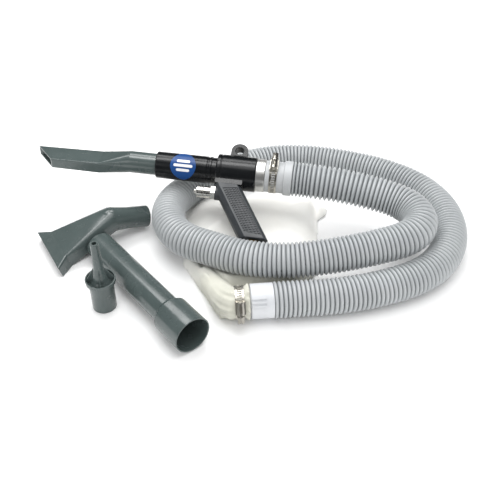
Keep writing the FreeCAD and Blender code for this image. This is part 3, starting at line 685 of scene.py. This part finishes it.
def tucked_under(height, xy, hose_line):
    """The cloth's height where the hose and the grip press on it."""
    line = hose_line + np.array(KIT_CENTRE)
    for point in line[::8]:
        gap = np.hypot(xy[:, 0] - point[0], xy[:, 1] - point[1])
        reach = HOSE_R + PRESS_GAP
        near = gap < reach
        under = point[2] - np.sqrt(np.maximum(reach ** 2 - gap[near] ** 2, 0)) - 1 * MM
        height[near] = np.minimum(height[near], np.maximum(under, PRESSED_FLAT))
    grip_gap = np.hypot(xy[:, 0], xy[:, 1] - GRIP_Y)
    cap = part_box("grip")[0][2] - 3 * MM + np.maximum(grip_gap - GRIP_REACH, 0) * 0.3
    return np.maximum(np.minimum(height, cap), 0)


def bag_pad(hose_line):
    """Closed low shell with the bag's outline: domed cloth on top, flat below."""
    xs = np.arange(*BAG_GRID_X, BAG_GRID)
    ys = np.arange(*BAG_GRID_Y, BAG_GRID)
    gx, gy = np.meshgrid(xs, ys)
    xy = np.stack([gx.ravel(), gy.ravel()], axis=1)
    height, distance = bag_height(xy, hose_line)
    keep = distance > 0.2 * MM
    index = -np.ones(len(xy), int)
    index[keep] = np.arange(keep.sum())
    top = [Vector((x, y, z + 0.8 * MM)) - KIT_CENTRE for (x, y), z in zip(xy[keep], height[keep])]
    low = [Vector((x, y, BAG_BASE)) - KIT_CENTRE for x, y in xy[keep]]
    count = len(top)
    faces = []
    wide = len(xs)
    border = {}
    for j in range(len(ys) - 1):
        for i in range(wide - 1):
            quad = [index[j * wide + i], index[j * wide + i + 1],
                    index[(j + 1) * wide + i + 1], index[(j + 1) * wide + i]]
            if min(quad) < 0:
                continue
            faces.append(tuple(quad))
            faces.append(tuple(q + count for q in reversed(quad)))
            for a, b in zip(quad, quad[1:] + quad[:1]):
                if (b, a) in border:
                    del border[(b, a)]
                else:
                    border[(a, b)] = True
    faces.extend((b, a, a + count, b + count) for a, b in border)
    return top + low, faces


NECK_SIDES = 112
NECK_STRAIGHT = 8                   # stations in line with the connector, before the neck turns
NECK_PATH = [
    # layout x, y, height of the middle, half width, half height, depth of the folds
    (-0.6, -178.7, 24.0, 18.4, 18.4, 0.2), (-0.6, -178.7, 24.0, 21.2, 21.2, 1.0),
    (-1.8, -178.8, 24.0, 22.0, 22.0, 1.4), (-3.9, -179.0, 24.0, 21.4, 21.4, 0.9),
    (-5.6, -179.2, 24.0, 20.3, 20.3, 0.2), (-8.4, -179.4, 24.0, 20.0, 20.0, 0.0),
    (-14, -179.9, 24.0, 20.0, 20.0, 0.0), (-18.0, -180.3, 24.0, 20.2, 20.2, 0.2),
    (-20.5, -180.2, 23.8, 20.9, 20.9, 0.9), (-24, -178.4, 22.8, 20.4, 20.4, 0.9),
    (-29, -172, 21.0, 19.0, 18.6, 0.5), (-35, -161, 17.6, 18.0, 16.4, 0.25),
    (-42, -147, 14.6, 16.4, 14.6, 0.1), (-52, -130, 12.4, 14.4, 12.8, 0.0),
    (-61, -112, 12.0, 10.0, 10.4, 0.2), (-63, -106, 10.0, 5.0, 5.0, 0.0),
]


def bag_neck():
    """The gathered neck: a fluted tube from the frill through the clamp and round into the bag."""
    middles = [Vector(station[:3]) * MM - KIT_CENTRE for station in NECK_PATH]
    straight = Vector((-math.cos(CONNECTOR_YAW), -math.sin(CONNECTOR_YAW), 0))
    verts = []
    for i, (x, y, z, wide, tall, folds) in enumerate(NECK_PATH):
        if i < NECK_STRAIGHT:
            ahead = straight
        else:
            ahead = middles[min(i + 1, len(middles) - 1)] - middles[i - 1]
            ahead = Vector((ahead.x, ahead.y, 0)).normalized()
        across = Vector((ahead.y, -ahead.x, 0))
        for k in range(NECK_SIDES):
            angle = 2 * math.pi * k / NECK_SIDES
            flute = folds * (math.sin(11 * angle + 0.03 * y) + 0.7 * math.sin(17 * angle + 2.0))
            spot = middles[i] + across * ((wide + flute) * math.cos(angle) * MM)
            spot.z = max(spot.z + (tall + flute) * math.sin(angle) * MM, BAG_BASE)
            verts.append(spot)
    faces = ring_faces(len(NECK_PATH), NECK_SIDES)
    fill_ends(faces, len(NECK_PATH), NECK_SIDES)
    return verts, faces


def make_bag(material, hose_line):
    """Pad and neck made into one skin, smoothed, with fine wrinkles."""
    verts, faces = bag_pad(hose_line)
    more, neck_faces = bag_neck()
    first = len(verts)
    faces = faces + [tuple(i + first for i in face) for face in neck_faces]
    bag = new_object("cloth_bag", mesh_from("cloth_bag", verts + more, faces), material, smooth=180)
    face_outwards(bag.data)
    remesh = bag.modifiers.new("skin", "REMESH")
    remesh.mode = "VOXEL"
    remesh.voxel_size = SKIN_VOXEL
    smooth = bag.modifiers.new("smooth", "SMOOTH")
    smooth.factor = 0.5
    smooth.iterations = SKIN_SMOOTHING
    apply_modifiers(bag)
    for vertex in bag.data.vertices:
        co = vertex.co
        if co.z < WRINKLE_FROM:
            continue
        wrinkle = noise.noise(co / 0.011) * 0.35 + noise.noise(co / 0.022) * 0.7
        vertex.co.z += wrinkle * MM * min(1, (co.z - WRINKLE_FROM) / (6 * MM))
    bag.data.shade_smooth()
    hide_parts("dust_bag")


# ---- stage ---------------------------------------------------------------------------------------
FLOOR_HALF = 6.0
FLOOR_DROP = 0.2 * MM               # a hair lower than the object's lowest points
LIGHTS = [
    # name, place, aim, size, power
    ("key", (-0.25, 0.85, 1.35), (0, 0, 0), (1.5, 0.40), 13),
    ("top", (0.3, -0.1, 1.9), (0, 0, 0), (1.4, 1.2), 14),
    ("front", (-0.9, -1.3, 1.2), (0, 0, 0), (0.4, 0.7), 2.5),
    ("shine", (-0.2, 0.25, 1.7), (-0.1, 0, 0), (0.9, 0.5), 14),
]
SKY_STRENGTH = 0.95
LENS = 54.72
SENSOR = 36
CAMERA_PLACE = Vector((0, -0.850, 0.7045))   # in the layout's own axes
CAMERA_TILT = math.radians(48.5)             # up from looking straight down


def make_floor():
    corners = [(-1, -1), (1, -1), (1, 1), (-1, 1)]
    mesh = mesh_from("floor", [(x * FLOOR_HALF, y * FLOOR_HALF, 0) for x, y in corners],
                     [(0, 1, 2, 3)])
    floor = bpy.data.objects.new("floor", mesh)
    bpy.context.scene.collection.objects.link(floor)
    m = Nodes("studio_floor")
    m.set(Base_Color=(0.93, 0.93, 0.93, 1), Roughness=0.9, Specular_IOR_Level=0.1)
    mesh.materials.append(m.material)
    floor.location.z = -FLOOR_DROP


def area_light(name, place, aim, size, power):
    data = bpy.data.lights.new(name, "AREA")
    data.shape = "RECTANGLE"
    data.size, data.size_y = size
    data.energy = power
    lamp = bpy.data.objects.new(name, data)
    bpy.context.scene.collection.objects.link(lamp)
    lamp.location = place
    lamp.rotation_euler = (Vector(aim) - Vector(place)).to_track_quat("-Z", "Y").to_euler()
    return lamp


def make_light():
    """A white surround that gloss doesn't mirror, soft lamps, and one lamp for highlights alone."""
    world = bpy.data.worlds.new("studio")
    bpy.context.scene.world = world
    world.use_nodes = True
    background = world.node_tree.nodes["Background"]
    background.inputs["Color"].default_value = (1, 1, 1, 1)
    background.inputs["Strength"].default_value = SKY_STRENGTH
    world.cycles_visibility.glossy = False
    lamps = {row[0]: area_light(*row) for row in LIGHTS}
    lamps["shine"].visible_diffuse = False    # it only adds highlights
    view = bpy.context.scene.view_settings
    view.view_transform = "Standard"
    view.look = "None"
    view.exposure = 0.0


def make_camera():
    data = bpy.data.cameras.new("camera")
    data.lens = LENS
    data.sensor_width = SENSOR
    camera = bpy.data.objects.new("camera", data)
    bpy.context.scene.collection.objects.link(camera)
    camera.location = CAMERA_PLACE - KIT_CENTRE
    camera.rotation_euler = (CAMERA_TILT, 0, 0)
    bpy.context.scene.camera = camera


# ---- the whole scene -----------------------------------------------------------------------------
materials = make_materials()
paint_cad_nodes(materials)
hose_line = make_hose(materials["hose_grey"])
make_grip(materials["grip_charcoal"])
make_grip_studs(materials["grip_charcoal"])
make_badge_mark(materials["badge_mark"])
make_band("slotted_front_band", "front_clamp_turn", "front_clamp_band", 21.85 * MM, 10.4 * MM,
          materials["stainless"])
make_band("slotted_bag_band", "bag_clamp_turn", "bag_clamp_band", 20.6 * MM, 11.4 * MM,
          materials["stainless"])
make_bag(materials["cotton_cloth"], hose_line)
make_floor()
make_light()
make_camera()
